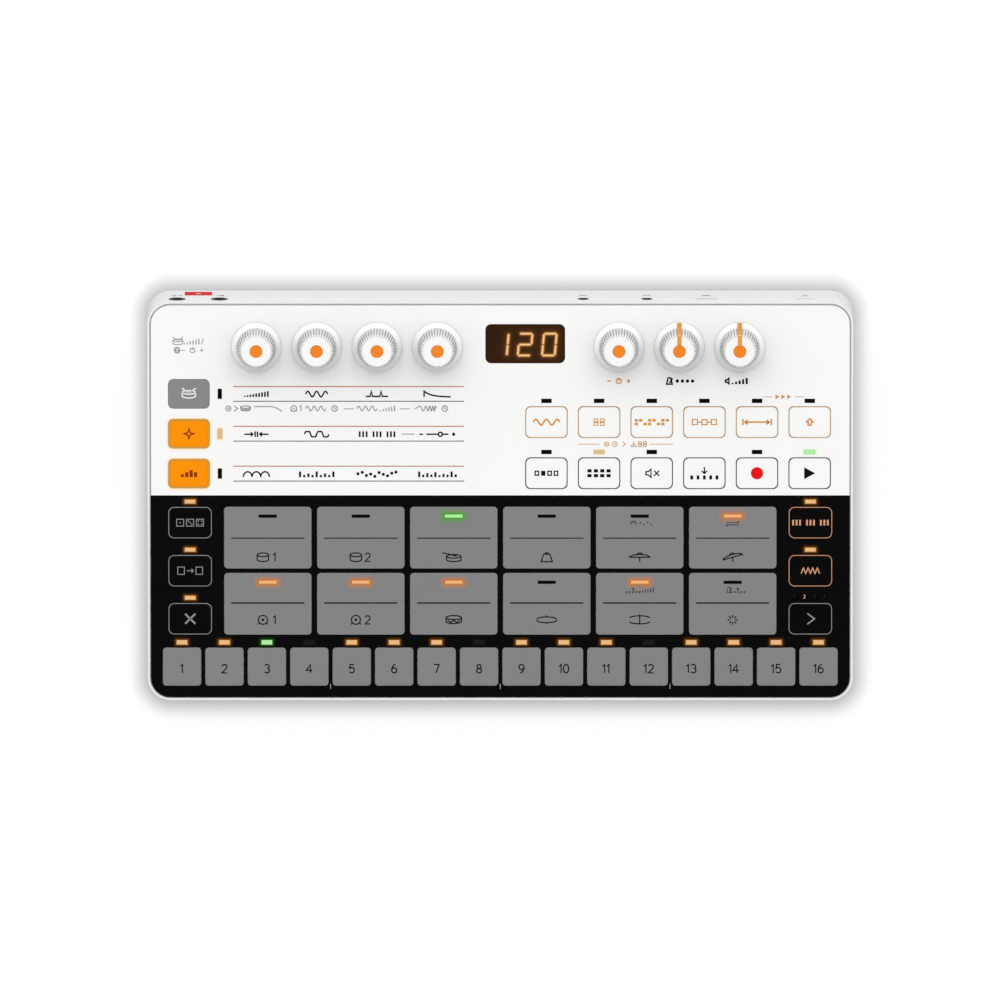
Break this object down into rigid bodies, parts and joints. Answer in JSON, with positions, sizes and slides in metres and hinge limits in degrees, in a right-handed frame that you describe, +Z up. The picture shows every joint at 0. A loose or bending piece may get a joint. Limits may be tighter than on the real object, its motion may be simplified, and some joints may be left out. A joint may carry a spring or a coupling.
{
  "type": "drum machine",
  "caption": "Slim desktop drum machine with a sloped film-covered top, drum pads, a row of step pads, push keys, rotary knobs, a digit display and rear sockets.",
  "frame": {"origin": "middle of the footprint, on the plane under the rubber feet", "axes": "+X to the player's right, +Y to the rear where the sockets are, +Z up"},
  "size_m": [0.256, 0.1488, 0.049],
  "materials": {
    "white_shell": "fine matte moulded",
    "white_film": "satin printed film",
    "black_film": "satin printed film",
    "grey_film": "satin printed film",
    "orange_key": "satin, lit from behind",
    "black_key": "satin printed film",
    "white_key": "satin printed film",
    "white_knob": "satin moulded",
    "shaft_metal": "turned",
    "display_tint": "polished, tinted brown",
    "dark_module": "matte",
    "amber_lens": "frosted",
    "green_board": "lacquered",
    "contact_metal": "plated",
    "control_body": "plated",
    "black_plastic": "matte",
    "socket_metal": "plated",
    "cell_jacket": "printed jacket",
    "foot_rubber": "matte",
    "screw_metal": "plated",
    "ribbon_film": "flat cable"
  },
  "bodies": {
    "case": {"upper_case": "white_shell", "lower_case": "white_shell", "control_overlay": "white_film", "pad_overlay": "black_film", "touch_pads": "grey_film", "step_pads": "grey_film", "display_window": "display_tint", "display_module": "dark_module", "led_lenses": "amber_lens", "panel_board": "green_board", "main_board": "green_board", "key_switches": "contact_metal", "potentiometers": "control_body", "data_encoder": "control_body", "audio_jacks": "black_plastic", "data_jacks": "black_plastic", "usb_socket": "socket_metal", "power_switch": "black_plastic", "battery_contacts": "contact_metal", "aa_cells": "cell_jacket", "rubber_feet": "foot_rubber", "screws": "screw_metal", "ribbon_cable": "ribbon_film"},
    "power_slider": {"power_slider": "black_plastic"},
    "battery_door": {"battery_door": "white_shell"},
    "param_knob_1": {"param_knob_1": "white_knob", "param_shaft_1": "shaft_metal"},
    "param_knob_2": {"param_knob_2": "white_knob", "param_shaft_2": "shaft_metal"},
    "param_knob_3": {"param_knob_3": "white_knob", "param_shaft_3": "shaft_metal"},
    "param_knob_4": {"param_knob_4": "white_knob", "param_shaft_4": "shaft_metal"},
    "data_knob": {"data_knob": "white_knob", "data_shaft": "shaft_metal"},
    "tempo_knob": {"tempo_knob": "white_knob", "tempo_shaft": "shaft_metal"},
    "volume_knob": {"volume_knob": "white_knob", "volume_shaft": "shaft_metal"},
    "sequence_key": {"sequence_key": "orange_key"},
    "effect_key": {"effect_key": "orange_key"},
    "drum_key": {"drum_key": "grey_film"},
    "select_key": {"select_key": "white_key"},
    "select_all_key": {"select_all_key": "white_key"},
    "mute_key": {"mute_key": "white_key"},
    "tap_key": {"tap_key": "white_key"},
    "record_key": {"record_key": "white_key"},
    "play_key": {"play_key": "white_key"},
    "sound_key": {"sound_key": "white_key"},
    "kit_key": {"kit_key": "white_key"},
    "pattern_key": {"pattern_key": "white_key"},
    "song_key": {"song_key": "white_key"},
    "length_key": {"length_key": "white_key"},
    "alt_key": {"alt_key": "white_key"},
    "clear_key": {"clear_key": "black_key"},
    "copy_key": {"copy_key": "black_key"},
    "random_key": {"random_key": "black_key"},
    "bank_key": {"bank_key": "black_key"},
    "roll_key": {"roll_key": "black_key"},
    "stutter_key": {"stutter_key": "black_key"}
  },
  "joints": [
    {"name": "param_knob_1_turn", "type": "hinge", "parent": "case", "child": "param_knob_1", "pos_m": [-0.0885, 0.0539, 0.03719], "axis": [0, -0.165, 0.9863], "range_deg": [-150, 150]},
    {"name": "param_knob_2_turn", "type": "hinge", "parent": "case", "child": "param_knob_2", "pos_m": [-0.0666, 0.0539, 0.03719], "axis": [0, -0.165, 0.9863], "range_deg": [-150, 150]},
    {"name": "param_knob_3_turn", "type": "hinge", "parent": "case", "child": "param_knob_3", "pos_m": [-0.0447, 0.0539, 0.03719], "axis": [0, -0.165, 0.9863], "range_deg": [-150, 150]},
    {"name": "param_knob_4_turn", "type": "hinge", "parent": "case", "child": "param_knob_4", "pos_m": [-0.0228, 0.0539, 0.03719], "axis": [0, -0.165, 0.9863], "range_deg": [-150, 150]},
    {"name": "data_knob_turn", "type": "hinge", "parent": "case", "child": "data_knob", "pos_m": [0.043, 0.0539, 0.03719], "axis": [0, -0.165, 0.9863], "continuous": true},
    {"name": "tempo_knob_turn", "type": "hinge", "parent": "case", "child": "tempo_knob", "pos_m": [0.0649, 0.0539, 0.03719], "axis": [0, -0.165, 0.9863], "range_deg": [-150, 150]},
    {"name": "volume_knob_turn", "type": "hinge", "parent": "case", "child": "volume_knob", "pos_m": [0.0868, 0.0539, 0.03719], "axis": [0, -0.165, 0.9863], "range_deg": [-150, 150]},
    {"name": "sequence_key_press", "type": "slide", "parent": "case", "child": "sequence_key", "axis": [0, 0.165, -0.9863], "range_m": [0, 0.0004], "stiffness_N_per_m": 2500},
    {"name": "effect_key_press", "type": "slide", "parent": "case", "child": "effect_key", "axis": [0, 0.165, -0.9863], "range_m": [0, 0.0004], "stiffness_N_per_m": 2500},
    {"name": "drum_key_press", "type": "slide", "parent": "case", "child": "drum_key", "axis": [0, 0.165, -0.9863], "range_m": [0, 0.0004], "stiffness_N_per_m": 2500},
    {"name": "select_key_press", "type": "slide", "parent": "case", "child": "select_key", "axis": [0, 0.165, -0.9863], "range_m": [0, 0.0004], "stiffness_N_per_m": 2500},
    {"name": "select_all_key_press", "type": "slide", "parent": "case", "child": "select_all_key", "axis": [0, 0.165, -0.9863], "range_m": [0, 0.0004], "stiffness_N_per_m": 2500},
    {"name": "mute_key_press", "type": "slide", "parent": "case", "child": "mute_key", "axis": [0, 0.165, -0.9863], "range_m": [0, 0.0004], "stiffness_N_per_m": 2500},
    {"name": "tap_key_press", "type": "slide", "parent": "case", "child": "tap_key", "axis": [0, 0.165, -0.9863], "range_m": [0, 0.0004], "stiffness_N_per_m": 2500},
    {"name": "record_key_press", "type": "slide", "parent": "case", "child": "record_key", "axis": [0, 0.165, -0.9863], "range_m": [0, 0.0004], "stiffness_N_per_m": 2500},
    {"name": "play_key_press", "type": "slide", "parent": "case", "child": "play_key", "axis": [0, 0.165, -0.9863], "range_m": [0, 0.0004], "stiffness_N_per_m": 2500},
    {"name": "sound_key_press", "type": "slide", "parent": "case", "child": "sound_key", "axis": [0, 0.165, -0.9863], "range_m": [0, 0.0004], "stiffness_N_per_m": 2500},
    {"name": "kit_key_press", "type": "slide", "parent": "case", "child": "kit_key", "axis": [0, 0.165, -0.9863], "range_m": [0, 0.0004], "stiffness_N_per_m": 2500},
    {"name": "pattern_key_press", "type": "slide", "parent": "case", "child": "pattern_key", "axis": [0, 0.165, -0.9863], "range_m": [0, 0.0004], "stiffness_N_per_m": 2500},
    {"name": "song_key_press", "type": "slide", "parent": "case", "child": "song_key", "axis": [0, 0.165, -0.9863], "range_m": [0, 0.0004], "stiffness_N_per_m": 2500},
    {"name": "length_key_press", "type": "slide", "parent": "case", "child": "length_key", "axis": [0, 0.165, -0.9863], "range_m": [0, 0.0004], "stiffness_N_per_m": 2500},
    {"name": "alt_key_press", "type": "slide", "parent": "case", "child": "alt_key", "axis": [0, 0.165, -0.9863], "range_m": [0, 0.0004], "stiffness_N_per_m": 2500},
    {"name": "clear_key_press", "type": "slide", "parent": "case", "child": "clear_key", "axis": [0, 0.165, -0.9863], "range_m": [0, 0.0004], "stiffness_N_per_m": 2500},
    {"name": "copy_key_press", "type": "slide", "parent": "case", "child": "copy_key", "axis": [0, 0.165, -0.9863], "range_m": [0, 0.0004], "stiffness_N_per_m": 2500},
    {"name": "random_key_press", "type": "slide", "parent": "case", "child": "random_key", "axis": [0, 0.165, -0.9863], "range_m": [0, 0.0004], "stiffness_N_per_m": 2500},
    {"name": "bank_key_press", "type": "slide", "parent": "case", "child": "bank_key", "axis": [0, 0.165, -0.9863], "range_m": [0, 0.0004], "stiffness_N_per_m": 2500},
    {"name": "roll_key_press", "type": "slide", "parent": "case", "child": "roll_key", "axis": [0, 0.165, -0.9863], "range_m": [0, 0.0004], "stiffness_N_per_m": 2500},
    {"name": "stutter_key_press", "type": "slide", "parent": "case", "child": "stutter_key", "axis": [0, 0.165, -0.9863], "range_m": [0, 0.0004], "stiffness_N_per_m": 2500},
    {"name": "power_slide", "type": "slide", "parent": "case", "child": "power_slider", "axis": [1, 0, 0], "range_m": [-0.002, 0.002]},
    {"name": "battery_door_hinge", "type": "hinge", "parent": "case", "child": "battery_door", "pos_m": [0, 0.0194, 0.0037], "axis": [1, 0, 0], "range_deg": [-75, 0]}
  ]
}
